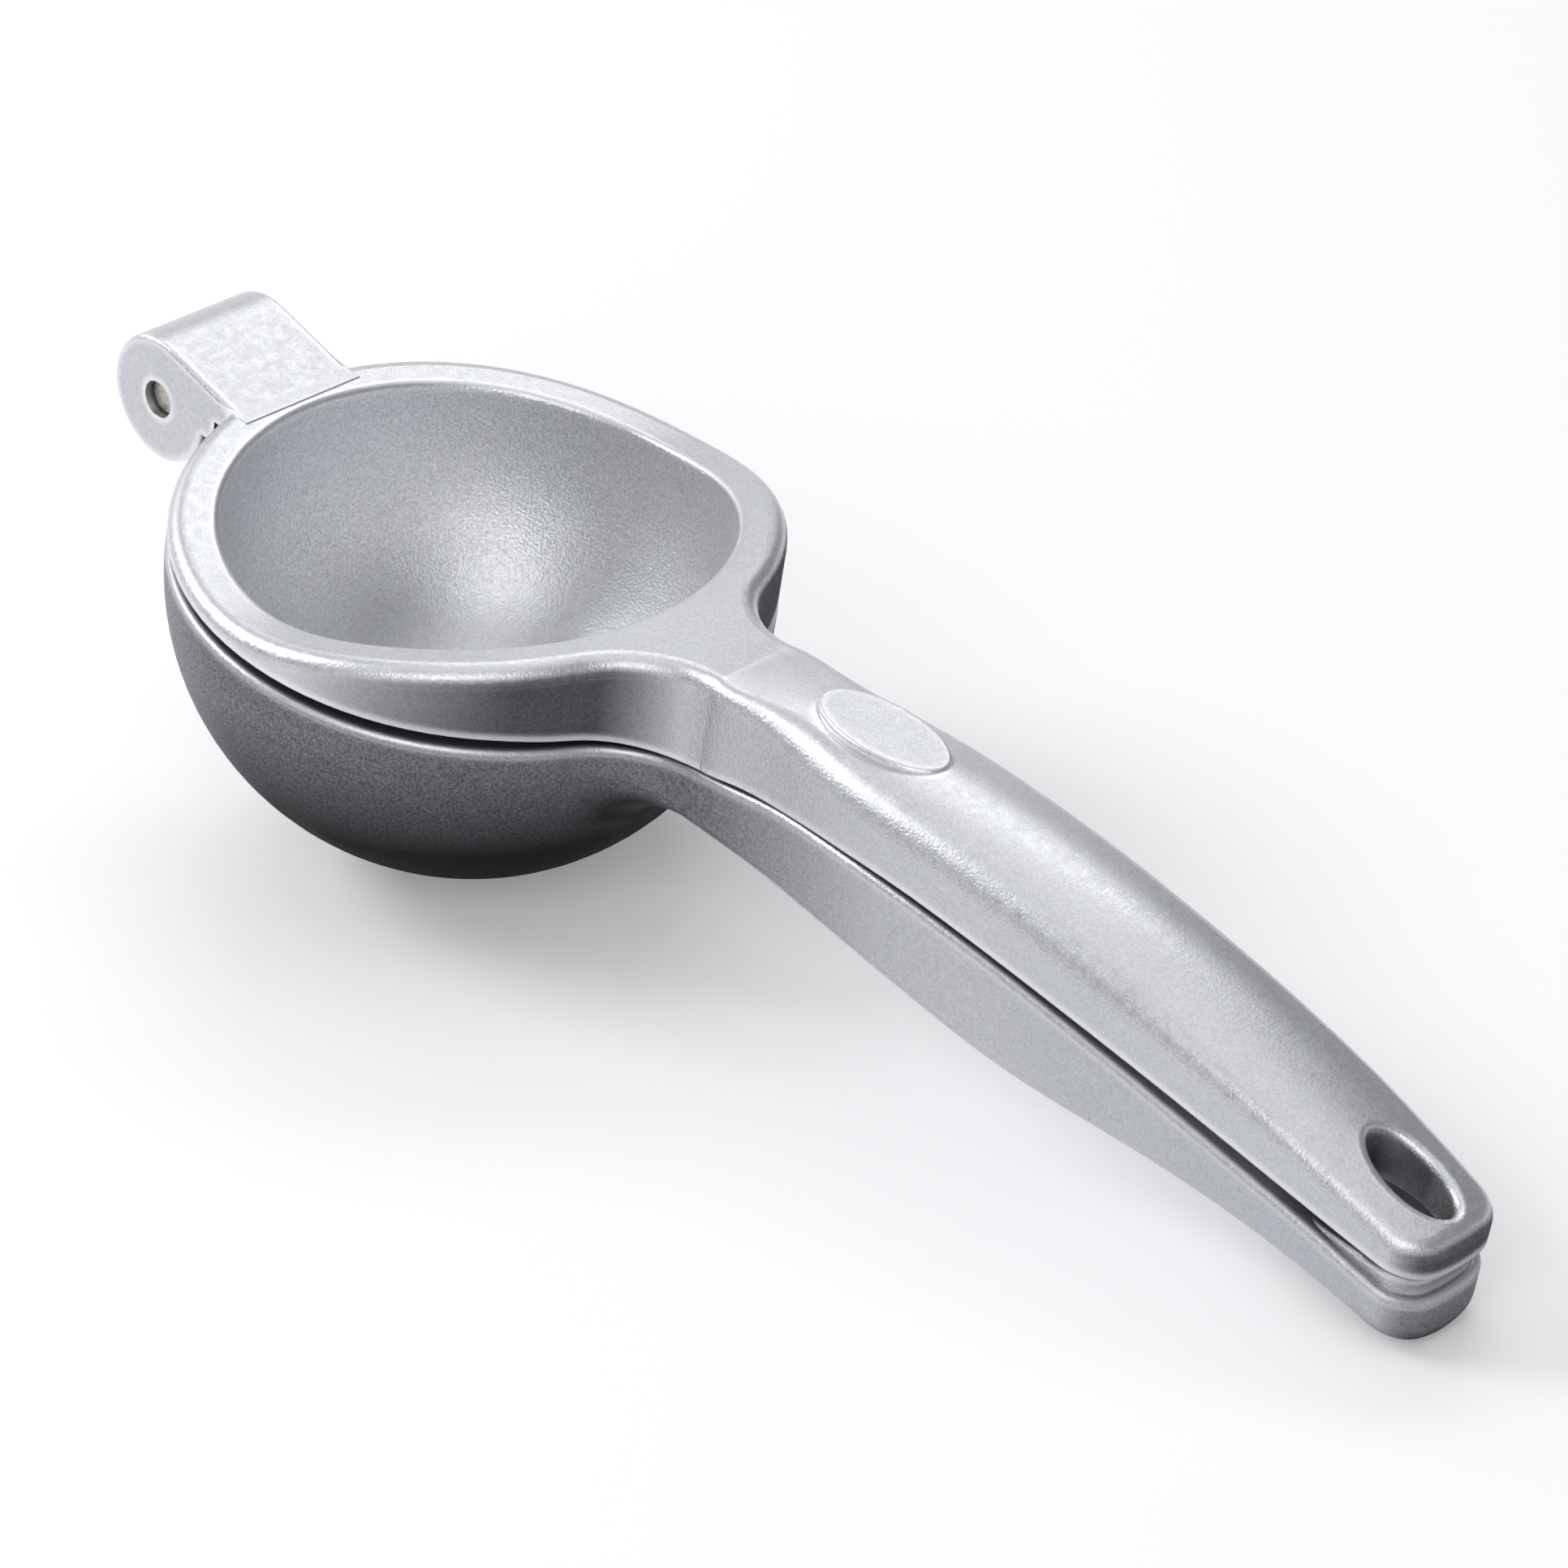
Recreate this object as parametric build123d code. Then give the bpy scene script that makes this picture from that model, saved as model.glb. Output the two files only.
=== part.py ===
# Hinged lemon squeezer: two aluminium castings that turn on one steel pin.
# Millimetres. Everything is drawn in the lever frame, where X runs from the bowl's
# axis towards the handle, Y runs across, and Z = 0 is the top face of the bowl's rim.
# At the end the closed squeezer is laid down on its bowl and the tip of its handle.
from build123d import *
import math
import os

os.makedirs("parts", exist_ok=True)

# Bowl of the lower lever
bowl_r = 37.9
bowl_wall = 2.4
bowl_centre_z = -1.4
rim_round = 0.9
foot_flat_r = 6.0
drain_hole_r = 2.1
drain_ring_pitch = 7.0
drain_rings = 2

# Ring and cup of the upper lever. The ring's top is given by shares of its radius, and heights.
ring_inset = 0.1
ring_shoulder_r = 2.2
ring_top_profile = [(-1.06, 5.5), (-0.79, 4.8), (-0.42, 4.2), (0.0, 4.9), (0.42, 8.9), (0.79, 12.1)]
flange_gap = 1.8
cup_gap = 1.9
cup_wall = 2.0
cup_centre_z = 1.0
cup_root_rise = 1.0
cup_lip_round = 0.8
pole_flat_r = 2.0

# Levers seen from the side: (distance past the bowl's edge, height), then (distance
# before the handle's tip, height)
handle_reach = 125.1
neck_reach = 10.1
crest_reach = 56.1
crest_z = 19.6
crest_r = 240.0
lever_gap = 0.35
rim_neck_profile = [(-3.9, 0.0), (9.1, 1.3), (16.1, 2.9), (23.1, 4.9), (36.1, 7.4), (48.1, 8.0)]
rim_tip_profile = [(37.9, 6.0), (12.9, 3.0), (-7.1, 0.2)]
slit_start_reach = -9.9
slit_neck_profile = [
    (-6.9, 1.7),
    (-2.9, 1.3),
    (2.1, 1.1),
    (9.1, 1.8),
    (16.1, 3.7),
    (23.1, 5.4),
    (30.1, 7.15),
    (44.1, 9.0),
    (62.1, 9.15),
]
slit_tip_profile = [(37.9, 8.0), (14.9, 6.0), (-7.1, 3.9)]
belly_profile = [(10.1, -7.4), (22.1, -7.0), (34.1, -7.0), (52.1, -7.7), (70.1, -7.3)]
belly_tip_profile = [(37.9, -5.3), (16.9, -4.8), (6.0, -5.8), (-3.0, -7.7)]
belly_edge_r = 2.5
neck_top_z = 10.0

# Levers seen from above and in section
neck_fillet_r = 14.0
bowl_join_r = 14.0
grip_reach = 50.1
grip_half_width = 9.95
grip_arc_r = 1350.0
waist_depth = 2.2
waist_reach = 16.1
waist_length = 24.0
grip_shoulder_r = 5.0
shoulder_length = 22.0
crown_r = 17.5
crown_margin = 1.0
flat_r = 2000.0
loft_steps = 12
tip_joint_back = 16.9
shoulder_blend_length = 36.0
tip_edge_r = 2.5
tip_corner_r = 5.5
tip_bow_r = 26.0
handle_wall = 2.4
channel_reach = 20.0
channel_corner_r = 2.5

# Blank oval boss on the crest, hanging hole and stop pad at the tip
boss_reach = 31.6
boss_half_length = 10.0
boss_half_width = 5.0
boss_height = 0.5
boss_root = 4.0
boss_edge_round = 0.5
boss_lift_degrees = 2.0
hole_back = 9.3
hole_half_length = 6.4
hole_half_width = 3.2
hole_wall = 3.0
hole_lip_round = 1.0
pad_inset = 1.3
pad_corner_r = 4.0
pad_edge_round = 0.5

# Hinge
pin_reach = 11.7
pin_z = -1.1
pin_r = 2.45
pin_recess = 1.2
pin_chamfer = 0.3
ear_r = 8.5
hinge_half_width = 9.3
knuckle_half_width = 4.4
knuckle_r = 5.6
hood_gap = 0.4
side_gap = 0.25
pin_fit = 0.02
pin_running_fit = 0.05
hood_end_angle = 158.0
ear_edge_round = 0.6
web_foot_inset = 2.4
web_foot_z = 5.1
web_root = 2.5
web_clearance = 0.9
web_drop = 0.3
arm_top_drop = 0.4
arm_foot = 3.0
arm_root = 1.2
arm_depth = 4.0

# Places that follow from them
ring_r = bowl_r - ring_inset
cup_r = bowl_r - bowl_wall - cup_gap - cup_wall
neck_end_x = bowl_r + neck_reach
tip_x = bowl_r + handle_reach
crest_x = bowl_r + crest_reach
grip_x = bowl_r + grip_reach
waist_x = bowl_r + waist_reach
boss_x = bowl_r + boss_reach
tip_joint_x = tip_x - tip_joint_back
hole_x = tip_x - hole_back
channel_start_x = bowl_r + channel_reach
channel_end_x = hole_x - hole_half_length - hole_wall
pin_x = -bowl_r - pin_reach
grip_root_x = bowl_r / 2.0
far = 80.0
tilt_steps = 5


def smooth_step(x, start, end):
    t = min(max((x - start) / (end - start), 0.0), 1.0)
    return t * t * (3.0 - 2.0 * t)


def crest_height(x):
    return crest_z - crest_r + math.sqrt(crest_r**2 - (x - crest_x) ** 2)


def half_width(x):
    # Bowed sides of the grip, drawn in to a waist at the neck.
    bowed = grip_half_width - (x - grip_x) ** 2 / (2.0 * grip_arc_r)
    return bowed - waist_depth * (1.0 - smooth_step(x, waist_x, waist_x + waist_length))


def shoulder_radius(x, start_r):
    # Round of a grip's long edges: it grows behind the neck and shrinks again to the tip.
    grown = smooth_step(x, neck_end_x, neck_end_x + shoulder_length)
    shrunk = smooth_step(x, tip_joint_x - shoulder_blend_length, tip_joint_x)
    full = start_r + (grip_shoulder_r - start_r) * grown
    return full + (tip_edge_r - full) * shrunk


def crown_radius(x):
    # The levers are flat across at the neck and crowned along the grip.
    grown = smooth_step(x, neck_end_x, neck_end_x + shoulder_length)
    return 1.0 / (grown / crown_r + (1.0 - grown) / flat_r)


def side_line(neck_profile, tip_profile):
    from_bowl = [(bowl_r + reach, z) for reach, z in neck_profile]
    from_tip = [(tip_x - back, z) for back, z in tip_profile]
    return from_bowl + from_tip


neck_top = (neck_end_x, crest_height(neck_end_x))
crest_slope = (crest_x - neck_end_x) / math.sqrt(crest_r**2 - (crest_x - neck_end_x) ** 2)


def slab_from(lines, height):
    # Everything between a line in the XZ plane and a level, carried right across in Y.
    start, end = lines[0] @ 0, lines[-1] @ 1
    corners = [(end.X, end.Y), (end.X, height), (start.X, height), (start.X, start.Y)]
    return across(make_face(lines + [Polyline(*corners)]), far)


def across(face, half):
    # A face drawn in the XZ plane, carried across from -half to +half.
    return extrude(Plane.XZ.offset(-half) * face, amount=2.0 * half)


def upright(face):
    # A face drawn from above, carried up through the whole lever.
    return extrude(Pos(0, 0, -far) * face, amount=2.0 * far)


def ring_top_line():
    # The ring is thin at the hinge, dips a little, then sweeps up into the neck.
    points = [(share * ring_r, z) for share, z in ring_top_profile]
    return [Spline(points + [neck_top], tangents=[(1, -0.1), (1, crest_slope)])]


def rim_line():
    # Top edge of the lower lever: level round the bowl, then swept up along the handle.
    points = side_line(rim_neck_profile, rim_tip_profile)
    return [Line((-far, 0.0), points[0]), Spline(points, tangents=[(1.0, 0.0), (1.0, -0.1)])]


def slit_line():
    # Bottom edge of the upper lever: the flange stands clear of the rim, the neck
    # follows the rim closely, and the grips part to leave a slit.
    flange_end = (bowl_r + slit_start_reach, flange_gap)
    level = Line((-far, flange_gap), flange_end)
    return [level, Spline([flange_end] + side_line(slit_neck_profile, slit_tip_profile))]


def tip_plan(inset, start_x):
    # The tip from above: slightly bowed sides and end, and round corners.
    end_x = tip_x - inset
    middle_x = (start_x + end_x) / 2.0
    start_y = half_width(start_x) - inset
    middle_y = half_width(middle_x) - inset
    corner_y = half_width(end_x) - inset
    bow = tip_bow_r - math.sqrt(tip_bow_r**2 - corner_y**2)
    near = ThreePointArc((start_x, -start_y), (middle_x, -middle_y), (end_x - bow, -corner_y))
    end = ThreePointArc((end_x - bow, -corner_y), (end_x, 0.0), (end_x - bow, corner_y))
    away = ThreePointArc((end_x - bow, corner_y), (middle_x, middle_y), (start_x, start_y))
    back = Line((start_x, start_y), (start_x, -start_y))
    face = make_face([near, end, away, back])
    corners = face.vertices().sort_by(Axis.X)[-2:]
    return fillet(corners, tip_corner_r - inset)


def crowned_section(x, top, open_z):
    # A crown wider than the grip, to be cut to the grip's outline afterwards.
    side = 1.0 if top > open_z else -1.0
    curve_r = crown_radius(x)
    y = half_width(x) + crown_margin
    edge_z = top - side * (curve_r - math.sqrt(curve_r**2 - y**2))
    crown = ThreePointArc((-y, edge_z), (0.0, top), (y, edge_z))
    frame = Polyline((y, edge_z), (y, open_z), (-y, open_z), (-y, edge_z))
    return Plane(origin=(x, 0, 0), x_dir=(0, 1, 0), z_dir=(1, 0, 0)) * make_face([crown, frame])


def upper_tip():
    # Last part of the upper grip, with one round that runs along both sides and the end.
    step = (tip_x - tip_joint_x) / 2.0
    stations = [tip_joint_x + i * step for i in range(4)]
    crowned = loft([crowned_section(x, crest_height(x), -far) for x in stations])
    block = upright(tip_plan(0.0, tip_joint_x)) & crowned
    top = block.faces().sort_by(Axis.Z)[-1]
    return fillet([e for e in top.edges() if (e @ 0.5).X > tip_joint_x + 0.01], tip_edge_r)


def grip_plan():
    # The lower grip and neck from above, from inside the bowl to the tip.
    count = 10
    corner_x = tip_x - tip_corner_r
    step = (corner_x - neck_end_x) / count
    stations = [neck_end_x + i * step for i in range(count + 1)]
    root_y = half_width(neck_end_x)
    end_y = half_width(tip_x)
    bow = tip_bow_r - math.sqrt(tip_bow_r**2 - end_y**2)
    sides = [(x, half_width(x)) for x in stations] + [(tip_x - bow, end_y)]
    narrowing = end_y - half_width(corner_x)
    away = Spline(sides, tangents=[(1.0, 0.0), (tip_corner_r, narrowing)])
    near = Spline([(x, -y) for x, y in sides], tangents=[(1.0, 0.0), (tip_corner_r, -narrowing)])
    end = ThreePointArc((tip_x - bow, -end_y), (tip_x, 0.0), (tip_x - bow, end_y))
    root = Polyline(
        (neck_end_x, root_y),
        (grip_root_x, root_y),
        (grip_root_x, -root_y),
        (neck_end_x, -root_y),
    )
    face = make_face([away, near, end, root])
    return fillet(face.vertices().sort_by(Axis.X)[-2:], tip_corner_r)


def lower_grip():
    # Neck and grip of the lower lever, with one round along both sides and the end.
    root_z = belly_profile[0][1]
    stations = [(grip_root_x - crown_margin, root_z), (bowl_r, root_z)]
    stations += side_line(belly_profile, belly_tip_profile)
    crowned = loft([crowned_section(x, z, neck_top_z) for x, z in stations])
    block = upright(grip_plan()) & crowned
    belly = [f for f in block.faces() if f.normal_at().Z < -0.5]
    edges = [e for f in belly for e in f.edges()]
    return fillet([e for e in edges if (e @ 0.5).X > grip_root_x + 0.01], belly_edge_r)


def ring_plan(radius, neck_y):
    # Ring and neck from above, with a hollow fillet on each side where they meet.
    outline = Circle(radius) + Pos(neck_end_x / 2.0, 0) * Rectangle(neck_end_x, 2.0 * neck_y)
    inner = [v for v in outline.vertices() if 20.0 < v.X < neck_end_x - 1.0]
    return fillet(inner, neck_fillet_r)


def grip_section(x, top, shoulder_r, open_z):
    # Section of a grip: upright sides, round shoulders and a low crown that runs into them.
    y = half_width(x)
    side = 1.0 if top > open_z else -1.0
    curve_r = crown_radius(x)
    turn = math.asin((y - shoulder_r) / (curve_r - shoulder_r))
    crown_z = top - side * curve_r
    shoulder_z = crown_z + side * (curve_r - shoulder_r) * math.cos(turn)
    meet_y = curve_r * math.sin(turn)
    meet_z = crown_z + side * curve_r * math.cos(turn)
    half_turn = (math.pi / 2.0 - turn) / 2.0
    bend_y = y - shoulder_r + shoulder_r * math.cos(half_turn)
    bend_z = shoulder_z + side * shoulder_r * math.sin(half_turn)
    outline = [
        Line((-y, open_z), (y, open_z)),
        Line((y, open_z), (y, shoulder_z)),
        ThreePointArc((y, shoulder_z), (bend_y, bend_z), (meet_y, meet_z)),
        ThreePointArc((meet_y, meet_z), (0.0, top), (-meet_y, meet_z)),
        ThreePointArc((-meet_y, meet_z), (-bend_y, bend_z), (-y, shoulder_z)),
        Line((-y, shoulder_z), (-y, open_z)),
    ]
    return Plane(origin=(x, 0, 0), x_dir=(0, 1, 0), z_dir=(1, 0, 0)) * make_face(outline)


def upper_section(x):
    return grip_section(x, crest_height(x), shoulder_radius(x, ring_shoulder_r), -far)


def ring_blank():
    # Ring and neck with their round top edge, still solid and deep.
    plan = upright(ring_plan(ring_r, half_width(neck_end_x)))
    blank = plan & slab_from(ring_top_line(), -far)
    return fillet([e for e in blank.edges() if follows_top(e)], ring_shoulder_r)


def upper_blank():
    # The grip runs from the neck's end to the tip, and one slit line cuts it all off below.
    ring = ring_blank()
    neck_end = ring.faces().sort_by(Axis.X)[-1]
    tip = upper_tip()
    tip_start = tip.faces().sort_by(Axis.X)[0]
    step = (tip_joint_x - neck_end_x) / loft_steps
    stations = [neck_end_x + i * step for i in range(1, loft_steps)]
    grip = loft([neck_end] + [upper_section(x) for x in stations] + [tip_start])
    return (ring + grip + tip) & slab_from(slit_line(), far)


def cup_mouth(blank):
    # Opening of the cup, with a round lip.
    blank -= Cylinder(cup_r, 2.0 * far)
    return fillet([e for e in blank.edges() if is_cup_lip(e)], cup_lip_round)


def follows_top(edge):
    middle = edge @ 0.5
    is_upright = abs((edge % 0.5).Z) > 0.9
    at_cut = middle.X > neck_end_x - 0.01
    return middle.Z > 2.0 and not is_upright and not at_cut


def is_cup_lip(edge):
    middle = edge @ 0.5
    is_upright = abs((edge % 0.5).Z) > 0.9
    on_cup = abs(math.hypot(middle.X, middle.Y) - cup_r) < 0.02
    return on_cup and middle.Z > flange_gap + 0.5 and not is_upright


def ball_shell(outer_r, wall, centre_z, edge_z, edge_slant):
    # Half of a hollow ball that hangs from a cylinder, with a small flat at its lowest point.
    inner_r = outer_r - wall
    slant = math.sqrt(0.5)
    inner_low = centre_z - math.sqrt(inner_r**2 - pole_flat_r**2)
    outer_low = centre_z - math.sqrt(outer_r**2 - pole_flat_r**2)
    outline = [
        Polyline((0.0, inner_low), (0.0, outer_low), (pole_flat_r, outer_low)),
        ThreePointArc(
            (pole_flat_r, outer_low),
            (outer_r * slant, centre_z - outer_r * slant),
            (outer_r, centre_z),
        ),
        Polyline(
            (outer_r, centre_z),
            (outer_r, edge_z),
            (inner_r + edge_slant, edge_z),
            (inner_r, edge_z - edge_slant),
            (inner_r, centre_z),
        ),
        ThreePointArc(
            (inner_r, centre_z),
            (inner_r * slant, centre_z - inner_r * slant),
            (pole_flat_r, inner_low),
        ),
        Line((pole_flat_r, inner_low), (0.0, inner_low)),
    ]
    return revolve(Plane.XZ * make_face(outline), Axis.Z)


def presser_cup():
    # Thin half ball that hangs from the ring into the bowl.
    return ball_shell(cup_r + cup_wall, cup_wall, cup_centre_z, flange_gap + cup_root_rise, cup_root_rise)


def hinge_block():
    # Barrel round the pin and the web that slopes down from it onto the ring.
    foot = Vector(-ring_r + web_foot_inset, web_foot_z)
    pin = Vector(pin_x, pin_z)
    reach = foot - pin
    angle = math.atan2(reach.Y, reach.X) + math.acos(ear_r / reach.length)
    touch = pin + Vector(math.cos(angle), math.sin(angle)) * ear_r
    web = Polyline(
        (touch.X, touch.Y),
        (foot.X, foot.Y),
        (foot.X + web_root, foot.Y),
        (foot.X + web_root, flange_gap),
        (-bowl_r - web_clearance, flange_gap),
        (-bowl_r - web_clearance, pin_z - web_drop),
        (pin_x, pin_z - web_drop),
        close=True,
    )
    profile = Pos(pin_x, pin_z) * Circle(ear_r) + make_face(web)
    block = across(profile, hinge_half_width)
    faces = [e for e in block.edges() if abs(abs((e @ 0.5).Y) - hinge_half_width) < 0.01]
    rims = [e for e in faces if (e @ 0.5).X < pin_x + ear_r]
    return fillet(rims, ear_edge_round)


def knuckle_slot():
    # Room in the hinge block for the lower lever's knuckle and for its arm, which
    # swings round under the pin from the closed to the fully open squeezer.
    half = knuckle_half_width + side_gap
    reach = 3.0 * ear_r
    end = math.radians(hood_end_angle)
    sector = Polyline(
        (pin_x, pin_z),
        (pin_x + reach * math.cos(end), pin_z + reach * math.sin(end)),
        (pin_x - reach, pin_z - reach),
        (-bowl_r - 0.6, pin_z - reach),
        (-bowl_r - 0.6, pin_z),
        close=True,
    )
    profile = Pos(pin_x, pin_z) * Circle(knuckle_r + hood_gap) + make_face(sector)
    return across(profile, half)


def grip_channel(lines, height):
    # The hollow that faces the other grip, with a wall left all round it.
    middle_x = (channel_start_x + channel_end_x) / 2.0
    sides = [(x, half_width(x) - handle_wall) for x in (channel_start_x, middle_x, channel_end_x)]
    near = ThreePointArc(*[(x, -y) for x, y in sides])
    away = ThreePointArc(*sides)
    plan = make_face([near, away, Line(near @ 0, away @ 0), Line(near @ 1, away @ 1)])
    return upright(fillet(plan.vertices(), channel_corner_r)) & slab_from(lines, height)


def crest_under_line():
    stations = (neck_end_x, crest_x, tip_joint_x)
    return [ThreePointArc(*[(x, crest_height(x) - 1.4 * handle_wall) for x in stations])]


def name_boss():
    # Blank oval pad, lying flatter than the crest, so that its far end stands proud.
    z = crest_height(boss_x)
    tilt = boss_lift_degrees - math.degrees(math.atan2(crest_x - boss_x, crest_r))
    oval = extrude(Ellipse(boss_half_length, boss_half_width), amount=boss_root)
    oval = fillet(oval.edges().group_by(Axis.Z)[-1], boss_edge_round)
    return Pos(boss_x, 0, z + boss_height - boss_root) * Rot(0, tilt, 0) * oval


def hanging_hole():
    return Pos(hole_x, 0, -far) * extrude(Ellipse(hole_half_length, hole_half_width), amount=2.0 * far)


def is_hole_lip(edge):
    middle = edge @ 0.5
    reach = math.hypot((middle.X - hole_x) / hole_half_length, middle.Y / hole_half_width)
    is_upright = abs((edge % 0.5).Z) > 0.9
    return abs(reach - 1.0) < 0.01 and not is_upright


def make_upper_lever():
    lever = cup_mouth(upper_blank()) + presser_cup() + hinge_block()
    lever -= grip_channel(crest_under_line(), -far)
    lever += name_boss()
    lever -= hanging_hole()
    lips = [e for e in lever.edges() if is_hole_lip(e)]
    top = max((e @ 0.5).Z for e in lips)
    lever = fillet([e for e in lips if (e @ 0.5).Z > top - hole_wall], hole_lip_round)
    lever -= knuckle_slot()
    lever -= Pos(pin_x, 0, pin_z) * Rot(90, 0, 0) * Cylinder(pin_r + pin_fit, 4.0 * hinge_half_width)
    return lever


def bowl_blank():
    # Solid ball cut off level above the rim. Its seam is turned away from the neck.
    ball = Pos(0, 0, bowl_centre_z) * Rot(0, 0, 180) * Sphere(bowl_r)
    return ball & Pos(0, 0, neck_top_z - far) * Box(2.0 * far, 2.0 * far, 2.0 * far)


def lower_blank():
    # Bowl, neck and grip in one, with the neck run into the bowl on a hollow fillet.
    bowl = bowl_blank() + lower_grip()
    bowl = fillet([e for e in bowl.edges() if is_bowl_join(e)], bowl_join_r)
    return bowl & slab_from(rim_line(), -far)


def is_bowl_join(edge):
    middle = edge @ 0.5
    off_centre = math.dist((middle.X, middle.Y, middle.Z), (0.0, 0.0, bowl_centre_z))
    return abs(off_centre - bowl_r) < 0.02 and middle.X > bowl_r - 15.0 and middle.Z < neck_top_z - 0.01


def outer_top_edges(solid):
    # Outer edges of the faces that look up, without the seam straight across the neck.
    tops = [f for f in solid.faces() if f.normal_at().Z > 0.8]
    edges = [e for f in tops for e in f.edges()]
    return [e for e in edges if e.geom_type != GeomType.LINE]


def inner_ball():
    # Hollow of the bowl, with a small round inside its rim.
    inner_r = bowl_r - bowl_wall
    depth = bowl_centre_z
    slant = inner_r * math.sqrt(0.5)
    top_r = math.sqrt(inner_r**2 - depth**2)
    outline = [
        Line((0.0, depth - inner_r), (0.0, neck_top_z)),
        Line((0.0, neck_top_z), (top_r, neck_top_z)),
        Line((top_r, neck_top_z), (top_r, 0.0)),
        ThreePointArc((top_r, 0.0), (slant, depth - slant), (0.0, depth - inner_r)),
    ]
    return revolve(Plane.XZ * make_face(outline), Axis.Z)


def stop_pad():
    # Raised pad near the tip that takes the squeeze when the levers are closed.
    plan = tip_plan(pad_inset, channel_end_x)
    plan = fillet(plan.vertices().sort_by(Axis.X)[:2], pad_corner_r)
    pad = extrude(plan, amount=slit_tip_profile[-1][1] - lever_gap)
    return fillet(pad.edges().group_by(Axis.Z)[-1], pad_edge_round)


def drain_holes():
    hole = Pos(0, 0, bowl_centre_z - bowl_r) * Cylinder(drain_hole_r, 8.0 * bowl_wall)
    holes = [hole]
    for ring in range(1, drain_rings + 1):
        count = 6 * ring
        holes += PolarLocations(ring * drain_ring_pitch, count, start_angle=180.0 / count) * hole
    return holes


def knuckle():
    # Round eye on the pin, and the arm that carries it below the pin onto the bowl.
    root_x = -bowl_r + arm_root
    arm = Polyline(
        (pin_x, pin_z - knuckle_r),
        (pin_x + arm_foot, pin_z - knuckle_r),
        (root_x, pin_z - knuckle_r - arm_depth),
        (root_x, pin_z - arm_top_drop),
        (pin_x, pin_z - arm_top_drop),
        close=True,
    )
    profile = Pos(pin_x, pin_z) * Circle(knuckle_r) + make_face(arm)
    return across(profile, knuckle_half_width)


def make_lower_lever():
    lever = lower_blank()
    lever = fillet(outer_top_edges(lever), rim_round)
    lever -= inner_ball()
    lever -= grip_channel(belly_over_line(), far)
    lever += stop_pad()
    lever -= hanging_hole()
    lever += knuckle()
    lever -= Pos(pin_x, 0, pin_z) * Rot(90, 0, 0) * Cylinder(pin_r + pin_running_fit, 4.0 * hinge_half_width)
    lever -= drain_holes()
    return lever


def belly_over_line():
    points = side_line(belly_profile, belly_tip_profile)
    return [Spline([(x, z + handle_wall) for x, z in points])]


def make_pin():
    length = 2.0 * (hinge_half_width - pin_recess)
    pin = Rot(90, 0, 0) * Cylinder(pin_r, length)
    return Pos(pin_x, 0, pin_z) * chamfer(pin.edges().filter_by(GeomType.CIRCLE), pin_chamfer)


def laid_down(shape, tilt):
    # Turned about the ball's centre, and set with the flat foot on the table at Z = 0.
    foot_depth = math.sqrt(bowl_r**2 - foot_flat_r**2)
    turn = Rot(0, math.degrees(tilt), 0)
    return Pos(0, 0, foot_depth) * turn * Pos(0, 0, -bowl_centre_z) * shape


def rest_tilt():
    # Angle at which the tip of the lower grip comes down onto the table.
    grip = lower_grip()
    tilt = bowl_r / tip_x
    for _ in range(tilt_steps):
        tilt += laid_down(grip, tilt).bounding_box().min.Z / tip_x
    return tilt


def with_foot(lever):
    # The bowl is faced off level with the table.
    table = Pos(0, 0, -far / 2.0) * Box(2.0 * bowl_r, 2.0 * bowl_r, far)
    return lever - table


tilt = rest_tilt()
export_step(laid_down(make_upper_lever(), tilt), "parts/upper_lever.step")
export_step(with_foot(laid_down(make_lower_lever(), tilt)), "parts/lower_lever.step")
export_step(laid_down(make_pin(), tilt), "parts/hinge_pin.step")
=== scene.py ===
# Looks for the hinged lemon squeezer: cast aluminium, one steel pin, soft studio light.
# Metres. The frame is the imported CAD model, lying on the floor at Z = 0.
import math

import bpy
from mathutils import Matrix, Vector

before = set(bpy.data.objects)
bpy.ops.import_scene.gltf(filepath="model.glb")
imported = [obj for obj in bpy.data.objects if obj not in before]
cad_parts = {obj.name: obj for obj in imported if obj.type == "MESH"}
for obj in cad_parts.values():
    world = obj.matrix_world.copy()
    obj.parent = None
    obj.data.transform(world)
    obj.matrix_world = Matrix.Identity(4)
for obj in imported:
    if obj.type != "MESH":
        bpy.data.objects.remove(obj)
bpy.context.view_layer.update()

WHITE = (1.0, 1.0, 1.0)

# Camera: three-quarter view from above the grip's end, through a long lens
CAMERA_TARGET = Vector((0.0578, -0.0029, 0.0314))
CAMERA_DISTANCE = 0.765
CAMERA_AZIMUTH = math.radians(46.16)
CAMERA_ELEVATION = math.radians(29.54)
CAMERA_ROLL = math.radians(-0.95)
CAMERA_LENS_MM = 149.07
SENSOR_MM = 36.0

# Light. Each lamp has a name, a place, a size and its watts.
WORLD_LEVEL = 0.23
WORLD_TINT = (0.93, 0.96, 1.0)
LAMP_AIM = Vector((0.05, 0.0, 0.0))
LAMPS = (
    ("far_low", (-1.10, 1.05, 0.40), (1.3, 0.4), 1.4),
    ("far_high", (-0.60, 0.80, 1.25), (1.1, 0.5), 3.9),
    ("left", (-0.85, -0.55, 0.85), (0.5, 0.5), 5.8),
    ("left_low", (-1.25, 0.05, 0.60), (0.9, 0.6), 1.9),
    ("near", (0.60, -0.90, 0.70), (1.0, 0.8), 5.0),
    ("top", (0.10, 0.00, 1.40), (1.3, 1.3), 3.7),
)

# White floor, with a glow that grows from near the object to the distance
FLOOR_SIZE = 6.0
FLOOR_TONE = (0.90, 0.90, 0.91)
FLOOR_ROUGHNESS = 0.9
FLOOR_GLOSS = 0.1
GLOW_NEAR = 0.22
GLOW_FAR = 0.80
GLOW_SPAN = (0.40, 1.20)

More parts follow.
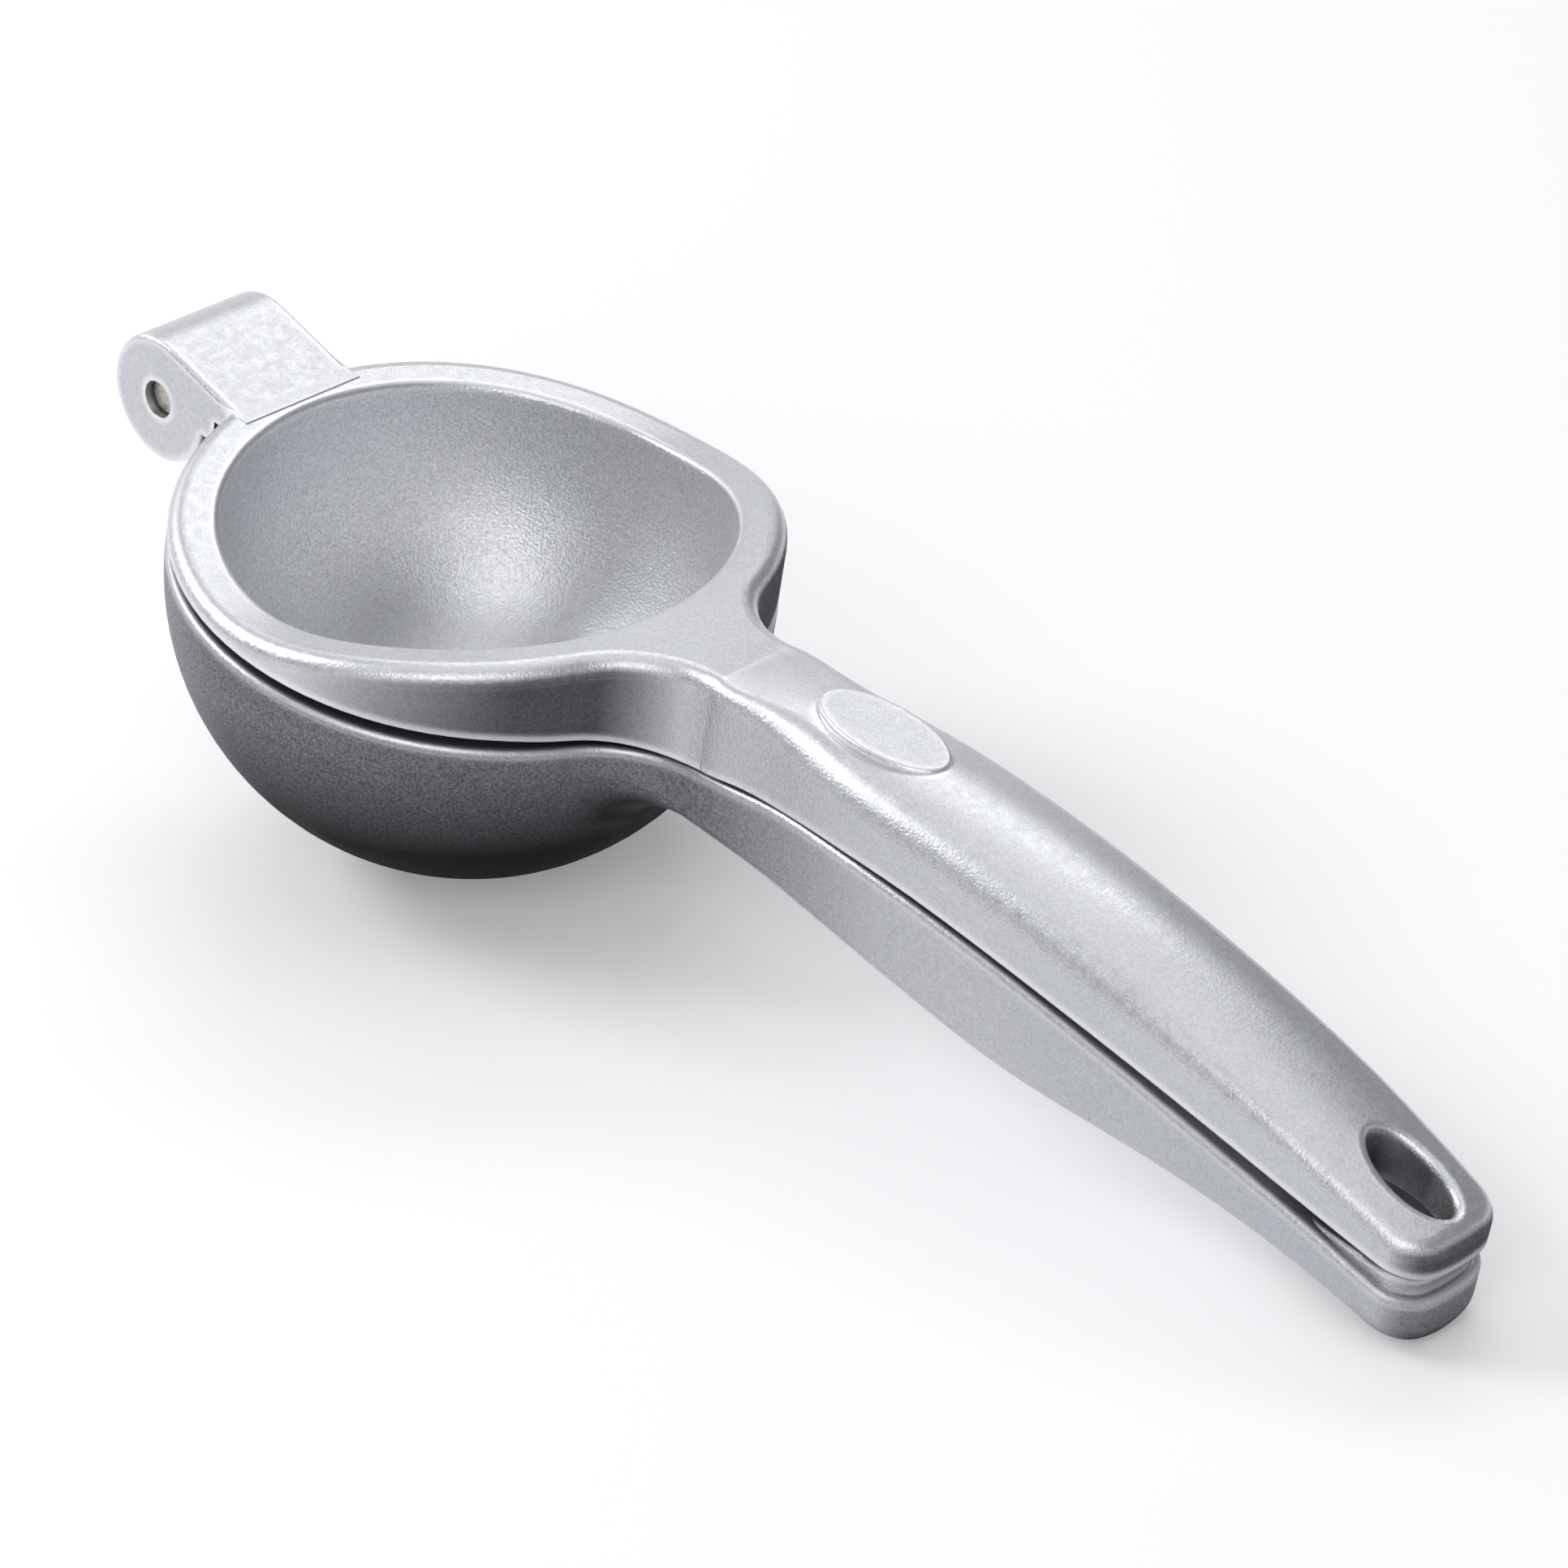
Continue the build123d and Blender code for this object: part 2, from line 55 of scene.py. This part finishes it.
# Cast metal: feature sizes of its grain, depths of its relief, and tones
SAND_GRAIN = 0.00035
SAND_DEPTH = 0.00008
PEEN_GRAIN = 0.0012
PEEN_DEPTH = 0.00004
CLOUD_SIZE = 0.03
NOISE_SPAN = (0.30, 0.70)
CLOUD_TONE = (0.93, 0.93, 0.94)
# Painted shade: faces that do not look up are a little darker.
SIDE_SHADE_TONE = (0.82, 0.82, 0.83)
SIDE_SHADE_SPAN = (0.15, 0.60)
CUP_TONES = ((0.62, 0.63, 0.65), (0.96, 0.96, 0.98))
METALLIC = 0.85
GLOSS = 0.10
ROUGHNESS_SPREAD = 0.05

# Relief left on the sides, on tops that hands rub, and inside the cup
SIDE_RELIEF = 1.2
TOP_RELIEF = 0.4
CUP_RELIEF = 1.4
TOP_SPAN = (0.4, 0.8)

# Polished edges, lighter in colour from wear and from a painted highlight, and the small rounding
# that every edge shows
EDGE_WIDTH = 0.0020
EDGE_WEAR_AND_HIGHLIGHT_TONE = (0.95, 0.95, 0.96)
EDGE_SPAN = (0.995, 0.90)
EDGE_POLISH = 0.15
SOFT_EDGE = 0.0003

# Painted shade in holes and slits
CREVICE_SHADE_REACH = 0.008
CREVICE_SHADE_SPAN = (0.15, 0.75)
CREVICE_SHADE_TONE = (0.15, 0.15, 0.16)

# Painted shade, on a rougher and less metallic surface: how it looks, and the spans over which it
# fades in. They are of X or Z of the direction that a face looks in, or of a place along X or from
# the bowl's middle.
PAINTED_SHADE_ROUGHNESS = 0.75
PAINTED_SHADE_METALLIC = 0.12
PAINTED_SHADE_GRAIN_SPAN = (0.35, 0.65)
PAINTED_SHADE_GRAIN_TONE = (0.5, 0.5, 0.5)
PAINTED_SHADE_CLOUD_SPAN = (0.35, 0.55)
PAINTED_SHADE_CLOUD_SHARE = 0.9
UNDERSIDE_SPAN = (-0.62, -0.12)
UPRIGHT_SPAN = (0.50, 0.15)
INSIDE_CUP_SPAN = (-0.008, -0.018)
BEYOND_CUP_SPAN = (0.0345, 0.0365)
RING_FACING_SPAN = (0.20, 0.80)
AFTER_HINGE_SPAN = (-0.050, -0.005)
BEFORE_GRIP_SPAN = (0.080, 0.045)
TIP_FACING_SPAN = (0.25, 0.75)
TIP_SPAN = (0.138, 0.150)
TIP_SHARE = 0.8

# Hinge pin
PIN_GRIT = 0.0004
PIN_GRIT_DEPTH = 0.00003
PIN_GRIT_SPAN = (0.35, 0.7)
PIN_TONES = ((0.42, 0.39, 0.35), (0.72, 0.68, 0.62))
PIN_ROUGHNESS = (0.28, 0.5)


# Node helpers. Each adds nodes to a material's tree and returns the socket of the result.

def new_material(name):
    material = bpy.data.materials.new(name)
    material.use_nodes = True
    nodes = material.node_tree.nodes
    nodes.clear()
    output = nodes.new("ShaderNodeOutputMaterial")
    shader = nodes.new("ShaderNodeBsdfPrincipled")
    material.node_tree.links.new(shader.outputs["BSDF"], output.inputs["Surface"])
    return material, material.node_tree, shader


def noise(tree, feature_size, detail, roughness=0.5):
    # Noise in the object's own metres, with features of about the given size.
    place = tree.nodes.new("ShaderNodeTexCoord")
    texture = tree.nodes.new("ShaderNodeTexNoise")
    texture.inputs["Scale"].default_value = 1.0 / feature_size
    texture.inputs["Detail"].default_value = detail
    texture.inputs["Roughness"].default_value = roughness
    tree.links.new(place.outputs["Object"], texture.inputs["Vector"])
    return texture.outputs["Fac"]


def ramp(tree, value, span, low_colour, high_colour):
    node = tree.nodes.new("ShaderNodeValToRGB")
    for stop, place, colour in zip(node.color_ramp.elements, span, (low_colour, high_colour)):
        stop.position = place
        stop.color = (*colour, 1.0)
    tree.links.new(value, node.inputs["Fac"])
    return node.outputs["Color"]


def remap(tree, value, span, low, high):
    node = tree.nodes.new("ShaderNodeMapRange")
    node.inputs["From Min"].default_value = span[0]
    node.inputs["From Max"].default_value = span[1]
    node.inputs["To Min"].default_value = low
    node.inputs["To Max"].default_value = high
    tree.links.new(value, node.inputs["Value"])
    return node.outputs["Result"]


def fade(tree, value, span):
    # 0 at the span's first value, 1 at its second.
    return remap(tree, value, span, 0.0, 1.0)


def from_to(tree, mask, low, high):
    # The first value where the mask is 0, the second where it is 1.
    return remap(tree, mask, (0.0, 1.0), low, high)


def combined(tree, operation, first, second):
    node = tree.nodes.new("ShaderNodeMath")
    node.operation = operation
    tree.links.new(first, node.inputs[0])
    tree.links.new(second, node.inputs[1])
    return node.outputs["Value"]


def scaled(tree, first, second):
    return combined(tree, "MULTIPLY", first, second)


def larger(tree, first, second):
    return combined(tree, "MAXIMUM", first, second)


def dot(tree, first, second):
    node = tree.nodes.new("ShaderNodeVectorMath")
    node.operation = "DOT_PRODUCT"
    tree.links.new(first, node.inputs[0])
    tree.links.new(second, node.inputs[1])
    return node.outputs["Value"]


def mixed(tree, blend, factor, first, second):
    node = tree.nodes.new("ShaderNodeMix")
    node.data_type = "RGBA"
    node.blend_type = blend
    tree.links.new(factor, node.inputs["Factor"])
    tree.links.new(first, node.inputs["A"])
    tree.links.new(second, node.inputs["B"])
    return node.outputs["Result"]


def multiplied(tree, first, second):
    node = tree.nodes.new("ShaderNodeMix")
    node.data_type = "RGBA"
    node.blend_type = "MULTIPLY"
    node.inputs["Factor"].default_value = 1.0
    tree.links.new(first, node.inputs["A"])
    tree.links.new(second, node.inputs["B"])
    return node.outputs["Result"]


def blended(tree, mask, value, other):
    # The linked value where the mask is 0, the plain number where it is 1.
    node = tree.nodes.new("ShaderNodeMix")
    node.data_type = "FLOAT"
    tree.links.new(mask, node.inputs["Factor"])
    tree.links.new(value, node.inputs["A"])
    node.inputs["B"].default_value = other
    return node.outputs["Result"]


def bump(tree, height, depth, below=None, strength=None):
    node = tree.nodes.new("ShaderNodeBump")
    node.inputs["Strength"].default_value = 1.0
    node.inputs["Distance"].default_value = depth
    tree.links.new(height, node.inputs["Height"])
    if strength is not None:
        tree.links.new(strength, node.inputs["Strength"])
    if below is not None:
        tree.links.new(below, node.inputs["Normal"])
    return node.outputs["Normal"]


def axes(tree, kind):
    # X, Y and Z of the object's own "Object" place or "Normal" direction.
    place = tree.nodes.new("ShaderNodeTexCoord")
    parts = tree.nodes.new("ShaderNodeSeparateXYZ")
    tree.links.new(place.outputs[kind], parts.inputs["Vector"])
    return parts.outputs


def distance_from_middle(tree):
    # Level distance from the upright line through the middle of the bowl.
    place = tree.nodes.new("ShaderNodeTexCoord")
    level = tree.nodes.new("ShaderNodeVectorMath")
    level.operation = "MULTIPLY"
    level.inputs[1].default_value = (1.0, 1.0, 0.0)
    tree.links.new(place.outputs["Object"], level.inputs[0])
    length = tree.nodes.new("ShaderNodeVectorMath")
    length.operation = "LENGTH"
    tree.links.new(level.outputs["Vector"], length.inputs[0])
    return length.outputs["Value"]


def rounded_normal(tree, radius):
    node = tree.nodes.new("ShaderNodeBevel")
    node.samples = 4
    node.inputs["Radius"].default_value = radius
    return node.outputs["Normal"]


# Masks: 1 where something is on the surface, 0 elsewhere.

def edge_mask(tree):
    # Edges that hands and tumbling have polished; they also carry a painted highlight.
    plain = tree.nodes.new("ShaderNodeNewGeometry")
    same_way = dot(tree, rounded_normal(tree, EDGE_WIDTH), plain.outputs["Normal"])
    return fade(tree, same_way, EDGE_SPAN)


def inside_cup(tree):
    # Surfaces that look back at the middle of the bowl.
    place = tree.nodes.new("ShaderNodeTexCoord")
    outward = dot(tree, place.outputs["Object"], place.outputs["Normal"])
    return fade(tree, outward, INSIDE_CUP_SPAN)


def ring_painted_shade(tree):
    # Painted shade on the upper casting, on faces that look along the grip,
    # but not on the outside of the cup.
    facing = axes(tree, "Normal")
    along = fade(tree, facing["X"], RING_FACING_SPAN)
    upright = fade(tree, facing["Z"], UPRIGHT_SPAN)
    beyond_cup = fade(tree, distance_from_middle(tree), BEYOND_CUP_SPAN)
    return scaled(tree, scaled(tree, along, upright), beyond_cup)


def bowl_painted_shade(tree):
    # Painted shade on the lower casting, round the bowl and, fainter, on the end of the grip.
    facing = axes(tree, "Normal")
    place = axes(tree, "Object")
    upright = fade(tree, facing["Z"], UPRIGHT_SPAN)
    after_hinge = fade(tree, place["X"], AFTER_HINGE_SPAN)
    before_grip = fade(tree, place["X"], BEFORE_GRIP_SPAN)
    bowl = scaled(tree, scaled(tree, after_hinge, before_grip), upright)
    tip_face = remap(tree, facing["X"], TIP_FACING_SPAN, 0.0, TIP_SHARE)
    tip = scaled(tree, tip_face, fade(tree, place["X"], TIP_SPAN))
    return larger(tree, bowl, tip)


# Materials

def crevice_shade(tree):
    # Painted shade: darker where the holes, the slit and the bore of the hinge are sheltered.
    shelter = tree.nodes.new("ShaderNodeAmbientOcclusion")
    shelter.samples = 6
    shelter.inputs["Distance"].default_value = CREVICE_SHADE_REACH
    return ramp(tree, shelter.outputs["AO"], CREVICE_SHADE_SPAN, CREVICE_SHADE_TONE, WHITE)


def bare_metal(tree, sand, clouds, facing_up, tones):
    grain = ramp(tree, sand, NOISE_SPAN, *tones)
    cloud_tone = ramp(tree, clouds, NOISE_SPAN, CLOUD_TONE, WHITE)
    # Painted shade on the sides.
    painted_side_shade = ramp(tree, facing_up, SIDE_SHADE_SPAN, SIDE_SHADE_TONE, WHITE)
    return multiplied(tree, multiplied(tree, grain, cloud_tone), painted_side_shade)


def painted_shade_colour(tree, sand, facing_up, painted_shade_tones):
    # Painted shade, darkest on the underside.
    tone = ramp(tree, fade(tree, facing_up, UNDERSIDE_SPAN), (0.0, 1.0), *painted_shade_tones)
    grain = ramp(tree, sand, PAINTED_SHADE_GRAIN_SPAN, PAINTED_SHADE_GRAIN_TONE, WHITE)
    return multiplied(tree, tone, grain)


def relief_strength(tree, inside, facing_up):
    # Hands rub the grain down on the tops, but not inside the cup.
    rubbed = remap(tree, facing_up, TOP_SPAN, SIDE_RELIEF, TOP_RELIEF)
    return blended(tree, inside, rubbed, CUP_RELIEF)


def cast_aluminium(name, tones, roughness, painted_shade_mask, painted_shade_tones):
    # Bead-blasted casting: sparkling sand grain over faint clouds, brighter on its edges from wear
    # and a painted highlight, with painted shade on its sides, in its crevices and on the masked
    # faces.
    material, tree, shader = new_material(name)
    sand = noise(tree, SAND_GRAIN, detail=2.0, roughness=0.6)
    peen = noise(tree, PEEN_GRAIN, detail=2.0)
    clouds = noise(tree, CLOUD_SIZE, detail=3.0)
    facing_up = axes(tree, "Normal")["Z"]
    inside = inside_cup(tree)
    edges = edge_mask(tree)
    # Painted shade where the mask says, patchy with the clouds and kept out of the cup.
    patchy = remap(tree, clouds, PAINTED_SHADE_CLOUD_SPAN, PAINTED_SHADE_CLOUD_SHARE, 1.0)
    painted_shade = scaled(tree, scaled(tree, painted_shade_mask(tree), patchy), from_to(tree, inside, 1.0, 0.0))

    colour = bare_metal(tree, sand, clouds, facing_up, tones)
    # Painted shade colour, darkest on the underside.
    colour = mixed(tree, "MULTIPLY", painted_shade, colour, painted_shade_colour(tree, sand, facing_up, painted_shade_tones))
    colour = mixed(tree, "MIX", inside, colour, ramp(tree, sand, NOISE_SPAN, *CUP_TONES))
    # Lighter edges: polish wear and a painted highlight.
    colour = mixed(tree, "MIX", edges, colour, ramp(tree, edges, (0.0, 1.0), tones[1], EDGE_WEAR_AND_HIGHLIGHT_TONE))
    # Painted shade in holes, slits and the bore.
    colour = multiplied(tree, colour, crevice_shade(tree))
    tree.links.new(colour, shader.inputs["Base Color"])

    satin = remap(tree, peen, NOISE_SPAN, roughness - ROUGHNESS_SPREAD, roughness + ROUGHNESS_SPREAD)
    satin = blended(tree, painted_shade, satin, PAINTED_SHADE_ROUGHNESS)
    satin = blended(tree, edges, satin, roughness - EDGE_POLISH)
    tree.links.new(satin, shader.inputs["Roughness"])
    tree.links.new(from_to(tree, painted_shade, METALLIC, PAINTED_SHADE_METALLIC), shader.inputs["Metallic"])
    shader.inputs["Specular IOR Level"].default_value = GLOSS

    relief = relief_strength(tree, inside, facing_up)
    normal = bump(tree, sand, SAND_DEPTH, rounded_normal(tree, SOFT_EDGE), relief)
    normal = bump(tree, peen, PEEN_DEPTH, normal, relief)
    tree.links.new(normal, shader.inputs["Normal"])
    return material


def pin_steel():
    # End of the pin, turned on a lathe and pressed flat.
    material, tree, shader = new_material("pin_steel")
    grit = noise(tree, PIN_GRIT, detail=3.0)
    tree.links.new(ramp(tree, grit, PIN_GRIT_SPAN, *PIN_TONES), shader.inputs["Base Color"])
    tree.links.new(remap(tree, grit, NOISE_SPAN, *PIN_ROUGHNESS), shader.inputs["Roughness"])
    tree.links.new(bump(tree, grit, PIN_GRIT_DEPTH), shader.inputs["Normal"])
    shader.inputs["Metallic"].default_value = 1.0
    return material


def paint(node, material):
    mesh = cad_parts[node].data
    mesh.materials.clear()
    mesh.materials.append(material)


# Stage

def background_rays(tree):
    # 1 for the rays that see or mirror the white background, 0 for those that light the object.
    path = tree.nodes.new("ShaderNodeLightPath").outputs
    seen = larger(tree, path["Is Camera Ray"], path["Is Glossy Ray"])
    return larger(tree, seen, path["Is Transmission Ray"])


def floor():
    bpy.ops.mesh.primitive_plane_add(size=FLOOR_SIZE)
    plane = bpy.context.object
    plane.name = "floor"
    material, tree, shader = new_material("floor")
    shader.inputs["Base Color"].default_value = (*FLOOR_TONE, 1.0)
    shader.inputs["Roughness"].default_value = FLOOR_ROUGHNESS
    shader.inputs["Specular IOR Level"].default_value = FLOOR_GLOSS
    shader.inputs["Emission Color"].default_value = (*WHITE, 1.0)
    # The lamps fade away from the object, so the white glow grows with the distance.
    glow = remap(tree, distance_from_middle(tree), GLOW_SPAN, GLOW_NEAR, GLOW_FAR)
    tree.links.new(scaled(tree, background_rays(tree), glow), shader.inputs["Emission Strength"])
    plane.data.materials.append(material)


def soft_box(name, place, size, watts):
    data = bpy.data.lights.new(name, "AREA")
    data.shape = "RECTANGLE"
    data.size, data.size_y = size
    data.energy = watts
    lamp = bpy.data.objects.new(name, data)
    bpy.context.collection.objects.link(lamp)
    lamp.location = place
    lamp.rotation_euler = (LAMP_AIM - Vector(place)).to_track_quat("-Z", "Y").to_euler()


def studio_light():
    world = bpy.data.worlds.new("studio")
    bpy.context.scene.world = world
    world.use_nodes = True
    background = world.node_tree.nodes["Background"]
    background.inputs["Color"].default_value = (*WORLD_TINT, 1.0)
    background.inputs["Strength"].default_value = WORLD_LEVEL
    for lamp in LAMPS:
        soft_box(*lamp)


def camera():
    data = bpy.data.cameras.new("camera")
    data.lens = CAMERA_LENS_MM
    data.sensor_width = SENSOR_MM
    data.clip_start = 0.05
    data.clip_end = 20.0
    view = bpy.data.objects.new("camera", data)
    bpy.context.collection.objects.link(view)
    level = math.cos(CAMERA_ELEVATION)
    outward = Vector((
        math.sin(CAMERA_AZIMUTH) * level,
        -math.cos(CAMERA_AZIMUTH) * level,
        math.sin(CAMERA_ELEVATION),
    ))
    upright = (-outward).to_track_quat("-Z", "Y").to_matrix()
    turn = upright @ Matrix.Rotation(CAMERA_ROLL, 3, "Z")
    place = Matrix.Translation(CAMERA_TARGET + outward * CAMERA_DISTANCE)
    view.matrix_world = place @ turn.to_4x4()
    bpy.context.scene.camera = view


paint("upper_lever", cast_aluminium(
    "upper_casting",
    tones=((0.68, 0.69, 0.72), (0.84, 0.85, 0.88)),
    roughness=0.40,
    # Painted shade on faces that look along the grip.
    painted_shade_mask=ring_painted_shade,
    painted_shade_tones=((0.02, 0.02, 0.022), (0.12, 0.12, 0.13)),
))
paint("lower_lever", cast_aluminium(
    "lower_casting",
    tones=((0.60, 0.61, 0.64), (0.76, 0.77, 0.80)),
    roughness=0.42,
    # Painted shade round the bowl, darkest underneath, and fainter on the grip's end.
    painted_shade_mask=bowl_painted_shade,
    painted_shade_tones=((0.012, 0.012, 0.013), (0.48, 0.48, 0.49)),
))
paint("hinge_pin", pin_steel())
floor()
studio_light()
camera()
bpy.context.scene.view_settings.view_transform = "Standard"
